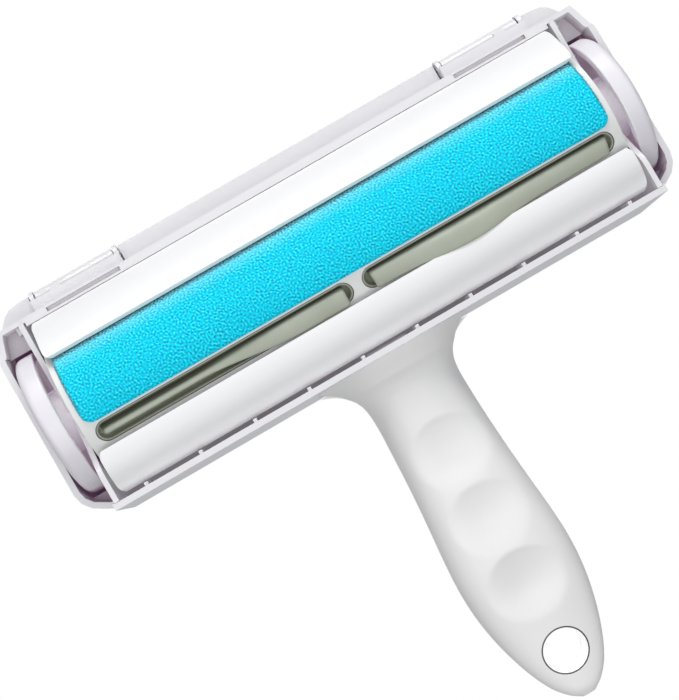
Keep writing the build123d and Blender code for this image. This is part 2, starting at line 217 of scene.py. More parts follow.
# ---- materials ---------------------------------------------------------------------------------
class Nodes:
    """A short way to write a node tree."""

    def __init__(self, name):
        self.material = bpy.data.materials.new(name)
        self.material.use_nodes = True
        self.tree = self.material.node_tree
        self.shader = self.tree.nodes["Principled BSDF"]

    def add(self, kind, **settings):
        node = self.tree.nodes.new("ShaderNode" + kind)
        for key, value in settings.items():
            setattr(node, key, value)
        return node

    def link(self, a, b):
        self.tree.links.new(a, b)

    def set(self, **values):
        for key, value in values.items():
            self.shader.inputs[key.replace("_", " ")].default_value = value

    def place(self):
        return self.add("TexCoord").outputs["Object"]

    def noise(self, scale, detail=2.0, rough=0.5, stretch=None):
        node = self.add("TexNoise")
        node.inputs["Scale"].default_value = scale
        node.inputs["Detail"].default_value = detail
        node.inputs["Roughness"].default_value = rough
        source = self.place()
        if stretch:
            mapping = self.add("Mapping")
            mapping.inputs["Scale"].default_value = stretch
            self.link(source, mapping.inputs["Vector"])
            source = mapping.outputs[0]
        self.link(source, node.inputs["Vector"])
        return node.outputs["Fac"]

    def ramp(self, value, stops):
        node = self.add("ValToRGB")
        node.color_ramp.elements[0].position = stops[0][0]
        node.color_ramp.elements[0].color = (*stops[0][1], 1)
        node.color_ramp.elements[1].position = stops[-1][0]
        node.color_ramp.elements[1].color = (*stops[-1][1], 1)
        for where, colour in stops[1:-1]:
            element = node.color_ramp.elements.new(where)
            element.color = (*colour, 1)
        self.link(value, node.inputs[0])
        return node.outputs[0]

    def span(self, value, low, high, from_low=0.3, from_high=0.7):
        node = self.add("MapRange")
        set_range(node, (from_low, from_high), (low, high))
        self.link(value, node.inputs["Value"])
        return node.outputs[0]

    def bump(self, value, distance):
        node = self.add("Bump")
        node.inputs["Distance"].default_value = distance
        self.link(value, node.inputs["Height"])
        return node.outputs[0]

    def openness(self, reach, samples):
        """How much of the sky a spot sees within a reach in metres, from 0 in a closed gap to 1."""
        node = self.add("AmbientOcclusion", samples=samples)
        node.inputs["Distance"].default_value = reach
        return node.outputs["AO"]

    def axis_distance(self, centre):
        """Distance in plan from an upright axis, in millimetres."""
        shift = self.add("VectorMath", operation="SUBTRACT")
        shift.inputs[1].default_value = centre
        self.link(self.add("NewGeometry").outputs["Position"], shift.inputs[0])
        plan = self.add("VectorMath", operation="MULTIPLY")
        plan.inputs[1].default_value = (1 / MM, 1 / MM, 0)
        self.link(shift.outputs[0], plan.inputs[0])
        length = self.add("VectorMath", operation="LENGTH")
        self.link(plan.outputs[0], length.inputs[0])
        return length.outputs["Value"]

    def band(self, value, low, high):
        """1 between two values and 0 outside them."""
        above = self.add("Math", operation="GREATER_THAN")
        self.link(value, above.inputs[0])
        above.inputs[1].default_value = low
        below = self.add("Math", operation="LESS_THAN")
        self.link(value, below.inputs[0])
        below.inputs[1].default_value = high
        both = self.add("Math", operation="MULTIPLY")
        self.link(above.outputs[0], both.inputs[0])
        self.link(below.outputs[0], both.inputs[1])
        return both.outputs[0]

    def blend(self, share, a, b):
        """Colour a where the share is 0 and colour b where it is 1."""
        node = self.add("Mix", data_type="RGBA", blend_type="MIX")
        self.link(share, node.inputs[0])
        for source, socket in ((a, node.inputs[6]), (b, node.inputs[7])):
            if isinstance(source, tuple):
                socket.default_value = (*source, 1)
            else:
                self.link(source, socket)
        return node.outputs[2]


TIGHT, WIDE = 0.008, 0.035         # reach in metres of the two openness readings
TIGHT_GAP = (0.04, 0.38)           # openness between which a tight gap takes its painted shade
# openness between which an enclosed place takes its painted glow
WIDE_GAP = (0.02, 0.45)
PAINTED_GAP_SHADE = (0.18, 0.07, 0.15)      # purple-brown painted shade in a deep gap between thin walls
# painted glow: colours that enclosed places give off though no lamp lights them, weaker in a tight gap
PAINTED_HOLLOW_GLOW, PAINTED_GAP_GLOW = (0.60, 0.55, 0.60), (0.20, 0.09, 0.19)
# painted light on the hole's bore wall, and a dark ring of painted shade round its rim
BORE_PAINTED_WHITE, BORE_PAINTED_GLOW = (0.95, 0.95, 0.95), (1.8, 1.8, 1.8)
RING_PAINTED_SHADE = (0.06, 0.06, 0.06)
RING_FROM, RING_TO = HOLE_R + 0.1, HOLE_R + 0.55
BLACK = (0, 0, 0)


def plastic(name, colour, shade, rough, coat=0.0, glow=0.11, gap_shade=PAINTED_GAP_SHADE, bore=False):
    """Moulded plastic with faint flow marks, painted shade that tints tight gaps and a painted glow in enclosed
    places.

    With bore, the hanging hole's wall is painted near-white and given a painted glow, and a fine dark ring of
    painted shade runs round its rim.
    """
    m = Nodes(name)
    flow = m.noise(16.0, 2.0, 0.5, stretch=(0.3, 1.0, 1.0))
    tone = m.ramp(flow, [(0.25, shade), (0.75, colour)])
    # painted shade: spots that see little open sky within the tight reach take the gap colour
    gap = m.span(m.openness(TIGHT, 16), 1.0, 0.0, *TIGHT_GAP)
    tone = m.blend(gap, tone, gap_shade)
    # painted glow: enclosed places, found by their small share of open sky within the wide reach, give off light
    inside = m.span(m.openness(WIDE, 16), 1.0, 0.0, *WIDE_GAP)
    light = m.blend(inside, BLACK, m.blend(gap, PAINTED_HOLLOW_GLOW, PAINTED_GAP_GLOW))
    if bore:
        reach = m.axis_distance(at(0, HOLE_Y, 0))
        wall = m.band(reach, 0.0, RING_FROM)
        # painted shade: the dark ring; painted light: the near-white, glowing bore wall
        tone = m.blend(m.band(reach, RING_FROM, RING_TO), tone, RING_PAINTED_SHADE)
        tone = m.blend(wall, tone, BORE_PAINTED_WHITE)
        light = m.blend(wall, light, BORE_PAINTED_GLOW)
    m.link(tone, m.shader.inputs["Base Color"])
    m.link(light, m.shader.inputs["Emission Color"])
    m.link(m.span(m.noise(60.0, 2.0), rough * 0.92, rough * 1.1), m.shader.inputs["Roughness"])
    m.link(m.bump(m.noise(900.0, 2.0), 0.00002), m.shader.inputs["Normal"])
    m.set(IOR=1.5, Coat_Weight=coat, Coat_Roughness=0.08, Emission_Strength=glow)
    return m.material


def pile_fabric(name):
    """Turquoise yarn: painted shade darkens it from the tips down to the roots and to near-black in its tightest
    hollows, and a painted highlight makes it lighter by its edge at the lid's hinge and along its border.
    """
    m = Nodes(name)
    height = m.add("Attribute", attribute_name="pile").outputs["Fac"]
    pale = m.add("Attribute", attribute_name="pale").outputs["Fac"]
    # painted shade: darker towards the roots of the curls
    tone = m.ramp(height, [(0.05, (0.0, 0.36, 0.62)), (0.4, (0.0, 0.58, 0.81)),
                           (0.7, (0.004, 0.78, 0.92)), (1.0, (0.07, 0.95, 0.97))])
    tone = m.blend(m.span(m.noise(45.0, 2.0), 0.0, 0.10), tone, (0.0, 0.46, 0.78))
    # painted highlight: lighter where the pale attribute is high
    tone = m.blend(pale, tone, (0.50, 0.95, 0.98))
    # painted shade: near-black in the pile's tightest hollows
    tone = m.blend(m.span(m.openness(0.0022, 6), 1.0, 0.0, 0.10, 0.62), tone, (0.0, 0.012, 0.02))
    m.link(tone, m.shader.inputs["Base Color"])
    m.link(m.bump(m.noise(5200.0, 2.0), 0.00006), m.shader.inputs["Normal"])
    m.set(Roughness=0.85, Sheen_Weight=0.1, Sheen_Roughness=0.5, Specular_IOR_Level=0.2)
    return m.material


def soft_rubber(name):
    """Sage-grey rubber, with painted shade that darkens it in hollows and on the part tucked in its trough;
    glossier in the hollows.
    """
    m = Nodes(name)
    # painted shade: darker where little open sky reaches within a few millimetres
    hollow = m.span(m.openness(0.004, 6), 1.0, 0.0, 0.25, 0.85)
    tucked_shade = m.add("Attribute", attribute_name="tucked_shade").outputs["Fac"]
    tone = m.ramp(m.noise(70.0, 3.0), [(0.3, (0.36, 0.39, 0.31)), (0.7, (0.41, 0.44, 0.36))])
    tone = m.blend(hollow, tone, (0.13, 0.135, 0.09))
    # painted shade on the part of a flap that stands tucked in its trough
    tone = m.blend(tucked_shade, tone, (0.10, 0.105, 0.07))
    m.link(tone, m.shader.inputs["Base Color"])
    m.link(m.bump(m.noise(1400.0, 2.0), 0.00003), m.shader.inputs["Normal"])
    m.link(m.span(hollow, 0.46, 0.24, 0.0, 1.0), m.shader.inputs["Roughness"])
    return m.material


def drawn_steel(name, colour):
    m = Nodes(name)
    drawn = m.noise(300.0, 3.0, 0.5, stretch=(0.1, 1.0, 1.0))
    dull = tuple(c * 0.8 for c in colour)
    m.link(m.ramp(drawn, [(0.3, dull), (0.7, colour)]), m.shader.inputs["Base Color"])
    m.link(m.span(drawn, 0.25, 0.42), m.shader.inputs["Roughness"])
    m.set(Metallic=1.0)
    return m.material


def build_materials():
    white, shade = (0.78, 0.775, 0.79), (0.755, 0.75, 0.77)
    return {
        "shell_white": plastic("shell_white", white, shade, 0.31, coat=0.15),
        # painted shade: grey in the lips' tight gaps
        "lip_white": plastic("lip_white", (0.85, 0.85, 0.85), (0.83, 0.83, 0.835), 0.38, coat=0.05,
                             gap_shade=(0.5, 0.5, 0.51)),
        "handle_grey": plastic("handle_grey", (0.84, 0.835, 0.825), (0.82, 0.815, 0.805), 0.34, coat=0.1,
                               bore=True),
        "drum_white": plastic("drum_white", (0.80, 0.81, 0.79), (0.77, 0.78, 0.76), 0.42),
        # painted shade: lilac in the wheels' tight gaps, and a stronger painted glow in their hollows
        "wheel_white": plastic("wheel_white", (0.83, 0.81, 0.85), (0.81, 0.79, 0.83), 0.32, coat=0.2,
                               glow=0.22, gap_shade=(0.50, 0.34, 0.46)),
        "latch_white": plastic("latch_white", white, shade, 0.32),
        "lint_pile": pile_fabric("lint_pile"),
        "flap_rubber": soft_rubber("flap_rubber"),
        "pin_steel": drawn_steel("pin_steel", (0.55, 0.55, 0.57)),
        "spring_steel": drawn_steel("spring_steel", (0.5, 0.5, 0.52)),
    }


def dress_nodes(made):
    """Gives each CAD node the material of its slot."""
    slots = {s["node"]: s["material_slot"] for s in frame["record"]["subparts"]}
    for name, node in NODES.items():
        node.data.materials.clear()
        node.data.materials.append(made[slots[name]])
        node.data.shade_smooth()
        node.data.set_sharp_from_angle(angle=math.radians(CAD_SHARP_ANGLE))


# ---- meshes ----------------------------------------------------------------------------------------
def new_piece(name, points, faces, material, body, slot, stands_for=(), smooth=True):
    """A piece from points in metres in the shared frame."""
    mesh = bpy.data.meshes.new(name)
    mesh.from_pydata([tuple(p) for p in points], [], faces)
    mesh.validate()
    mesh.materials.append(material)
    if smooth:
        mesh.shade_smooth()
    obj = bpy.data.objects.new(name, mesh)
    bpy.context.scene.collection.objects.link(obj)
    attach(obj, body)
    if stands_for:
        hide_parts(*stands_for)
    return obj


def add_attribute(obj, name, values):
    """Gives each point of a piece a value that its material reads."""
    attribute = obj.data.attributes.new(name, "FLOAT", "POINT")
    attribute.data.foreach_set("value", np.array(values, np.float32))


def end_caps(size, last):
    """Faces that close a skin of rings of one size, whose last ring starts at a given point."""
    return tuple(range(size - 1, -1, -1)), tuple(range(last, last + size))


def grid_faces(rows, columns, closed_rows=False, start=0):
    """Quads between the points of a grid whose columns run fastest."""
    faces = []
    last = columns if closed_rows else columns - 1
    for i in range(rows - 1):
        for j in range(last):
            k = (j + 1) % columns
            a, b = start + i * columns + j, start + i * columns + k
            faces.append((a, b, b + columns, a + columns))
    return faces


def smooth_curve(knots, count):
    """Points along a smooth curve through the knots, evenly spaced along the first coordinate's knots."""
    knots = np.array(knots, float)
    n = len(knots)
    span = np.linspace(0, n - 1, count)
    padded = np.vstack([2 * knots[0] - knots[1], knots, 2 * knots[-1] - knots[-2]])
    made = []
    for t in span:
        i = min(int(t), n - 2)
        u = t - i
        p0, p1, p2, p3 = padded[i], padded[i + 1], padded[i + 2], padded[i + 3]
        made.append(0.5 * (2 * p1 + (p2 - p0) * u + (2 * p0 - 5 * p1 + 4 * p2 - p3) * u ** 2
                           + (3 * p1 - p0 - 3 * p2 + p3) * u ** 3))
    return np.array(made)


# ---- the pile fabric --------------------------------------------------------------------------------
REST_TIP = 28.4            # the drum's tilt at rest, degrees
DRUM_R, PILE_R = 21.4, 22.5
FABRIC_HALF = 83.6
FABRIC_ANGLE = 42.8        # degrees to either side of the fabric's middle
FABRIC_ARC = 2 * math.radians(FABRIC_ANGLE) * PILE_R
FABRIC_CORNER = 3.4
EDGE_ROUND = 0.9           # how far in the pile reaches its full height
PILE_STEP = 0.24           # distance between the mesh's points
CURL_PITCH, CURL_HIGH = 0.98, 0.34
SEAT_GAP = 0.03
PALE_FROM, PALE_BAND = 0.75, 8.5   # where the painted highlight by the hinge-side edge begins, as a share of the arc, and how wide it is
FIBRES = 3400
FIBRE_HALF_WIDE = 0.045
FIBRE_RISE = 0.45          # no fibre stands higher above the pile


def curls(rows, cols, step, pitch):
    """Height field of short curly yarn whose neighbours are about a pitch apart, from 0 to 1."""
    across = np.fft.fftfreq(cols, step)[None, :]
    along = np.fft.fftfreq(rows, step)[:, None]
    wave = np.hypot(across, along) * pitch
    keep = np.exp(-((wave - 1.0) / 0.48) ** 2) + 0.25 * np.exp(-(wave / 0.12) ** 2)
    grain = np.real(np.fft.ifft2(np.fft.fft2(noise_seed.standard_normal((rows, cols))) * keep))
    return np.clip(0.5 + 0.30 * grain / grain.std(), 0, 1)


def on_drum(x, angle, r):
    """A point on the drum at rest: angle in degrees from the fabric's middle, towards the lid's hinge."""
    a = math.radians(angle + REST_TIP)
    return at(x, r * math.sin(a), -r * math.cos(a))


def outline_distance(from_end, from_side):
    """How far inside the sheet's rounded outline a place lies, given its distances from two borders."""
    if from_end < FABRIC_CORNER and from_side < FABRIC_CORNER:
        return FABRIC_CORNER - math.hypot(FABRIC_CORNER - from_end, FABRIC_CORNER - from_side)
    return min(from_end, from_side)


def build_pile(material):
    """The sheet of curly yarn, as one fine mesh that is rounded down at its outline."""
    rows, cols = int(FABRIC_ARC / PILE_STEP) + 1, int(2 * FABRIC_HALF / PILE_STEP) + 1
    field = curls(rows, cols, PILE_STEP, CURL_PITCH)
    points, pile, pale = [], [], []
    for i in range(rows):
        s = i / (rows - 1)
        angle = FABRIC_ANGLE * (2 * s - 1)
        for j in range(cols):
            x = FABRIC_HALF * (2 * j / (cols - 1) - 1)
            edge = outline_distance(FABRIC_HALF - abs(x), FABRIC_ARC * (0.5 - abs(s - 0.5)))
            rise = math.sqrt(min(1.0, max(0.0, edge) / EDGE_ROUND))
            h = field[i, j]
            r = DRUM_R + SEAT_GAP + (PILE_R - DRUM_R - CURL_HIGH - 0.02) * rise + CURL_HIGH * h * rise
            if edge < 0:
                r = DRUM_R - 0.3
            points.append(on_drum(x, angle, r))
            # the pile value drives the painted shade: low curls, and the rounded-down outline, come out darker
            pile.append(h * (0.35 + 0.65 * rise))
            # the pale value is a painted highlight: it rises towards the hinge-side edge and along the sheet's
            # border, more on the curls' tops
            band = min(1.0, max(0.0, 1 - (PALE_FROM - s) * FABRIC_ARC / PALE_BAND))
            rim = max(0.0, 1 - edge / 0.7)
            pale.append(min(1.0, 0.75 * band ** 1.3 * (0.25 + 0.9 * h) + 0.5 * rim * h))
    obj = new_piece("pile", points, grid_faces(rows, cols), material, "drum", "lint_pile", ["lint_fabric"])
    add_attribute(obj, "pile", pile)
    add_attribute(obj, "pale", pale)


def fibre_place(k):
    """Where a fibre grows: two of three anywhere, the others along the sheet's ends and sides."""
    if k % 3:
        return noise_seed.uniform(-FABRIC_HALF, FABRIC_HALF), noise_seed.uniform(0.02, 0.98)
    if k % 2:
        side = 1 if noise_seed.random() > 0.5 else -1
        return side * (FABRIC_HALF - noise_seed.uniform(0.1, 0.7)), noise_seed.uniform(0.12, 0.95)
    return noise_seed.uniform(-81, 81), noise_seed.choice([0.012, 0.985])


def build_fibres(material):
    """Loose fibre ends that stand out of the pile, most of them at its borders."""
    points, faces, pile, pale = [], [], [], []
    for k in range(FIBRES):
        x, s = fibre_place(k)
        root = on_drum(x, FABRIC_ANGLE * (2 * s - 1), PILE_R - 0.4)
        up = (root - at(x, 0, 0)).normalized()
        along_head = Vector((1, 0, 0))
        lean = noise_seed.uniform(0, 2 * math.pi)
        flat = along_head * math.cos(lean) + up.cross(along_head) * math.sin(lean)
        length = noise_seed.uniform(0.4, 0.75) * MM
        wide = flat.cross(up) * FIBRE_HALF_WIDE * MM
        middle = root + up * length * 0.42 + flat * length * 0.35
        tip = root + up * min(length * 0.6, FIBRE_RISE * MM) + flat * length * 0.9
        n = len(points)
        points += [root - wide, root + wide, middle + wide * 0.8, middle - wide * 0.8, tip]
        points += [root - wide + up * 0.05 * MM, middle + up * 0.07 * MM]
        faces += [(n, n + 1, n + 2, n + 3), (n + 3, n + 2, n + 4), (n + 1, n, n + 5)]
        faces += [(n + 5, n + 6, n + 2, n + 1), (n, n + 3, n + 6, n + 5), (n + 6, n + 4, n + 2)]
        faces.append((n + 3, n + 4, n + 6))
        pile += [0.7] * 7
        # fibres take the painted highlight too, more of it at the borders
        pale += [0.35 if k % 3 else 0.6] * 7
    obj = new_piece("pile_fibres", points, faces, material, "drum", "lint_pile")
    add_attribute(obj, "pile", pile)
    add_attribute(obj, "pale", pale)


# ---- the rubber flaps ---------------------------------------------------------------------------------
SLOT_ANGLE = 53.4          # degrees between the fabric's middle and a slot's
SLOT_NEAR, SLOT_FAR, SLOT_WIDE = 1.6, 82.4, 6.7
TROUGH_D = 19.4            # the trough's floor, out from the drum's axis
FLAP_THICK_HALF = 0.36
# the border and the trough of a slot, as (distance in from its outline, distance out from the axis)
SOCKET_PROFILE = [
    (0.12, 18.4), (0.12, 20.75), (0.18, 20.98), (0.34, 21.10), (0.56, 21.08), (0.74, 20.90), (0.88, 20.5),
    (1.1, 19.9), (1.6, 19.5), (2.5, TROUGH_D),
]
# root, crown and free edge of a flap across its slot, as (t, d); see in_slot()
FLAP_ROOT = np.array([-1.35, 19.3])
CROWN_LYING, CROWN_STANDING = np.array([-2.0, 23.0]), np.array([-1.2, 21.3])
CROWN_RELAXED = np.array([-1.2, 21.0])
EDGE_STANDING, EDGE_RELAXED = np.array([0.1, 22.3]), np.array([0.2, 21.9])
EDGE_RIGHT, EDGE_LEFT = np.array([3.0, 22.9]), np.array([2.75, 22.7])


def in_slot(side, x, t, d):
    """A point of a slot: t across it, away from the fabric, and d out from the drum's axis."""
    a = math.radians(REST_TIP + side * SLOT_ANGLE)
    y = d * math.sin(a) + side * t * math.cos(a)
    h = -d * math.cos(a) + side * t * math.sin(a)
    return at(x, y, h)


def stadium(x_side, shrink, count):
    """Outline of a slot, shrunk inwards, as (x, t) pairs."""
    r = SLOT_WIDE / 2 - shrink
    near, far = SLOT_NEAR + SLOT_WIDE / 2, SLOT_FAR - SLOT_WIDE / 2
    outline = []
    for centre, first in ((far, -90), (near, 90)):
        for k in range(count):
            a = math.radians(first + 180 * k / (count - 1))
            outline.append((x_side * (centre + r * math.cos(a)), r * math.sin(a)))
    return outline


def build_socket(name, side, x_side, material, node):
    """The flap's moulded root: a rounded border round the slot and a trough inside it."""
    count = 20
    points = []
    for shrink, d in SOCKET_PROFILE:
        points += [in_slot(side, x, t, d) for x, t in stadium(x_side, shrink, count)]
    ring = 2 * count
    faces = grid_faces(len(SOCKET_PROFILE), ring, closed_rows=True)
    faces += end_caps(ring, (len(SOCKET_PROFILE) - 1) * ring)
    new_piece(name, points, faces, material, "drum", "flap_rubber", [node])


def lying_share(x_side, s):
    """How far a flap is bent over: 0 stands and 1 lies; s runs from the head's middle outwards."""
    if x_side > 0:
        share = 1 - (s - 0.18) / 0.42
        return min(1.0, max(0.0, share)) ** 0.9
    return 1.0


def flap_path(x_side, s):
    """Root, crown and free edge of a rear flap; the left one is pushed up in a soft bulge."""
    lying = lying_share(x_side, s)
    lying = lying * lying * (3 - 2 * lying)
    bulge = math.exp(-((s - 0.40) / 0.20) ** 2) if x_side < 0 else 0.0
    edge = EDGE_RIGHT if x_side > 0 else EDGE_LEFT + np.array([0.95, 2.25]) * bulge
    crown = CROWN_LYING + np.array([0.0, 0.35]) * bulge
    return FLAP_ROOT, crown * lying + CROWN_STANDING * (1 - lying), edge * lying + EDGE_STANDING * (1 - lying)


def build_blade(name, side, x_side, material, relaxed):
    """A rubber sheet that rises from the trough and leans over its rim, with a rounded free edge."""
    near, far = SLOT_NEAR + 2.5, SLOT_FAR - 1.9
    stations, steps = 120, 14
    points, tucked_shade = [], []
    for i in range(stations):
        s = i / (stations - 1)
        root, crown, edge = (FLAP_ROOT, CROWN_RELAXED, EDGE_RELAXED) if relaxed else flap_path(x_side, s)
        t = np.linspace(0, 1, steps)[:, None]
        line = (1 - t) ** 2 * root + 2 * t * (1 - t) * crown + t ** 2 * edge
        slope = np.gradient(line, axis=0)
        slope /= np.linalg.norm(slope, axis=1)[:, None]
        normal = np.stack([slope[:, 1], -slope[:, 0]], 1)
        # the ends are rounded, and the outer end of the lying flap is cut at a slant
        slant = (1.2 if x_side < 0 else 0.5) * t[:, 0]
        end = min(s, 1 - s) * (far - near)
        fat = FLAP_THICK_HALF * math.sqrt(min(1.0, max(end, 0.02) / FLAP_THICK_HALF))
        tip = [line[-1] + fat * (slope[-1] * math.cos(a) + normal[-1] * math.sin(a))
               for a in (1.0, 0.5, 0.0, -0.5, -1.0)]
        ring = [line[k] + normal[k] * fat for k in range(steps)] + tip
        ring += [line[k] - normal[k] * fat for k in range(steps - 1, -1, -1)]
        shift = list(slant) + [slant[-1]] * 5 + list(slant[::-1])
        # painted shade: the standing part of a flap, below its tip ridge, is darkened; the front flaps all along
        hidden = 1.0 if relaxed else 1 - lying_share(x_side, s)
        tucked_shade += [hidden * min(1.0, max(0.0, (22.1 - out) / 0.7)) for _, out in ring]
        for k, (across, out) in enumerate(ring):
            x = near + s * (far - near - shift[k]) + 0.35 * shift[k] * (1 - s)
            points.append(in_slot(side, x_side * x, across, out))
    ring_size = 2 * steps + 5
    faces = grid_faces(stations, ring_size, closed_rows=True)
    faces += end_caps(ring_size, (stations - 1) * ring_size)
    obj = new_piece(name, points, faces, material, "drum", "flap_rubber")
    add_attribute(obj, "tucked_shade", tucked_shade)
    return obj


def build_flaps(material):
    for label, side in (("rear", -1), ("front", 1)):
        for hand, x_side in (("left", -1), ("right", 1)):
            node = "flap_" + label + "_" + hand
            build_socket(node + "_socket", side, x_side, material, node)
            blade = build_blade(node + "_blade", side, x_side, material, relaxed=label == "front")
            if label == "rear":
                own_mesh(blade)


# ---- simple bodies and what is done with them ---------------------------------------------------------
def prism(outline, x0, x1):
    """A body of constant section from x0 to x1; the outline is a list of (y, h)."""
    n = len(outline)
    points = [at(x, y, h) for x in (x0, x1) for y, h in outline]
    faces = [(k, (k + 1) % n, n + (k + 1) % n, n + k) for k in range(n)]
    return points, faces + list(end_caps(n, n))


def block(x0, x1, y0, y1, h0, h1):
    return prism([(y0, h0), (y1, h0), (y1, h1), (y0, h1)], x0, x1)


def circle(radius, count):
    turns = [2 * math.pi * k / count for k in range(count)]
    return [(radius * math.cos(a), radius * math.sin(a)) for a in turns]


def post(x, y, low, high, radius, count=96):
    """An upright round body."""
    points = [at(x + across, y + along, h) for h in (low, high) for across, along in circle(radius, count)]
    faces = [(k, (k + 1) % count, count + (k + 1) % count, count + k) for k in range(count)]
    return points, faces + list(end_caps(count, count))


def cut(obj, points, faces):
    """Takes a body out of a piece for good."""
    mesh = bpy.data.meshes.new("cutter")
    mesh.from_pydata([tuple(p) for p in points], [], faces)
    cutter = bpy.data.objects.new("cutter", mesh)
    bpy.context.scene.collection.objects.link(cutter)
    step = obj.modifiers.new("cut", "BOOLEAN")
    step.object = cutter
    step.solver = "EXACT"
    bpy.context.view_layer.update()
    made = bpy.data.meshes.new_from_object(obj.evaluated_get(bpy.context.evaluated_depsgraph_get()))
    obj.modifiers.clear()
    obj.data = made
    bpy.data.objects.remove(cutter)


def soften(obj, width):
    """Rounds a piece's sharp edges; the width is in millimetres."""
    bevel = obj.modifiers.new("edges", "BEVEL")
    bevel.width = width * MM
    bevel.segments = 3
    bevel.limit_method = "ANGLE"
    bevel.angle_limit = math.radians(SHARP_ANGLE)


# ---- the handle's lower shell ----------------------------------------------------------------------------
SEAM = -1.5
SUPERELLIPSE = 0.8         # power that squares the shell's round section
NECK_Y, NECK_BLEND = -31.2, 4.0    # where the neck begins, and how far it is drawn onto the frame's wall
# (y, half width, underside); the upper shell is the CAD node
LOWER_SECTIONS = [
    (NECK_Y, 24.9, -18.9), (-32.4, 21.6, -18.1), (-34.6, 18.2, -16.4), (-38.0, 15.5, -14.2),
    (-43.0, 14.3, -12.7), (-53.0, 14.4, -11.8), (-65.0, 15.0, -11.6), (-78.0, 16.0, -11.4),
    (-91.0, 17.2, -11.0), (-101.0, 17.6, -10.2), (-111.0, 16.8, -8.8), (-120.5, 14.8, -7.2),
    (-129.0, 12.0, -5.8), (-135.5, 8.8, -4.8), (-139.6, 5.4, -4.0), (-141.9, 2.2, -2.8),
]
DIMPLES = (-62.3, -83.7, -105.3)
DIMPLE_WIDE, DIMPLE_LONG, DIMPLE_DEEP = 12.2, 10.8, 2.1


def dimple_depth(x, y):
    """How far the finger dimples sink at a place; their edge is crisper on the head's side."""
    sunk = 0.0
    for centre in DIMPLES:
        rho = math.hypot(x / DIMPLE_WIDE, (y - centre) / DIMPLE_LONG)
        if rho < 1:
            headwards = 0.5 + 0.5 * (y - centre) / DIMPLE_LONG
            sunk = max(sunk, DIMPLE_DEEP * (1 - rho ** 2) ** (2.1 - 1.15 * headwards))
    return sunk


def wall_face_y(h):
    """The outside of the frame's rear wall, which leans a little."""
    return -29.2 - 1.8 * (h + 20) / 32


def build_handle_lower(material):
    rings, around = 16 * (len(LOWER_SECTIONS) - 1) + 1, 65
    points = []
    for y, half, low in smooth_curve(LOWER_SECTIONS, rings):
        lean = max(0.0, 1 - (NECK_Y - y) / NECK_BLEND)
        for k in range(around):
            a = math.pi * k / (around - 1)
            x = half * math.copysign(abs(math.cos(a)) ** SUPERELLIPSE, math.cos(a))
            h = SEAM - (SEAM - low) * math.sin(a) ** SUPERELLIPSE
            place_y = y * (1 - lean) + (wall_face_y(h) + 0.15 + y - NECK_Y) * lean
            points.append(at(x, place_y, h + dimple_depth(x, y) * (h < SEAM - 3)))
            if k == 0:
                seam_y = place_y
        for k in range(1, around - 1):
            points.append(at(-half * math.cos(math.pi * k / (around - 1)), seam_y, SEAM))
    size = 2 * around - 2
    faces = grid_faces(rings, size, closed_rows=True)
    faces += end_caps(size, (rings - 1) * size)
    obj = new_piece("handle_lower_shell", points, faces, material, "housing", "handle_grey", ["handle_lower"])
    cut(obj, *post(0, HOLE_Y, -20, 10, HOLE_R))
    soften(obj, 0.35)


# ---- the lid ---------------------------------------------------------------------------------------------
LID_WALL = 1.8
LID_Y, LID_H = 3.0, 5.8    # the rays that find the lid's outer form start here
LID_TOP, LID_ROUND = 42.0, 20.0    # the top, and the roundness of the ends, seen from the front
LID_MIDDLE = 80.0          # the ends are turned about uprights this far out
LID_LOW = 0.6
PARTING_SLOPE = -12.0 / 62.2
HINGE_CLEAR = 0.5
# section of the dome from the front over the top to the rear, as (y, h)
LID_CURVE = [
    (36.9, 0.5), (37.6, 5.0), (37.0, 12.0), (34.0, 20.5), (27.5, 29.0), (17.0, 35.4), (4.0, 38.4),
    (-9.0, 37.0), (-19.5, 31.6), (-26.5, 24.0), (-30.3, 16.5), (-31.0, 12.4),
]
SKIRT_FRONT, SKIRT_REAR = [(36.9, -6.0), (36.9, -2.0)], [(-31.0, 8.0), (-31.0, 5.9)]
# outline of a lid's end in plan, from the front round to the rear, as (x, y)
LID_END = [
    (80.0, 39.6), (84.0, 39.2), (88.0, 37.6), (91.4, 34.6), (94.4, 30.1), (96.7, 23.5), (HEAD_HALF, 16.0),
    (HEAD_HALF, 4.0), (HEAD_HALF, -8.0), (HEAD_HALF, -19.6), (96.7, -22.8), (94.6, -25.4), (90.8, -27.9),
    (87.0, -30.2), (84.0, -32.0), (80.0, -33.0),
]
LEDGE_Y, LEDGE_LOW, LEDGE_HIGH, LEDGE_END = 31.7, 0.6, 2.3, 92.2
LEAF = [(HINGE_Y - 1.0, HINGE_H + 2.2), (HINGE_Y + BARREL_R, HINGE_H + 0.6), (37.5, 6.8), (37.2, 10.5),
        (35.0, 10.2)]
LEAF_CLEAR, PIN_CLEAR = 0.35, 0.1


def rounded_max(a, b, k):
    """The larger of two distances, with a rounded meeting."""
    return 0.5 * (a + b + np.sqrt((a - b) ** 2 + k ** 2))


def polar_table(points, y0, h0):
    """An outline as directions from a centre and the reach in each, in rising order."""
    turn = np.array([math.atan2(h - h0, y - y0) for y, h in points])
    reach = np.array([math.hypot(h - h0, y - y0) for y, h in points])
    order = np.argsort(turn)
    return turn[order], reach[order]


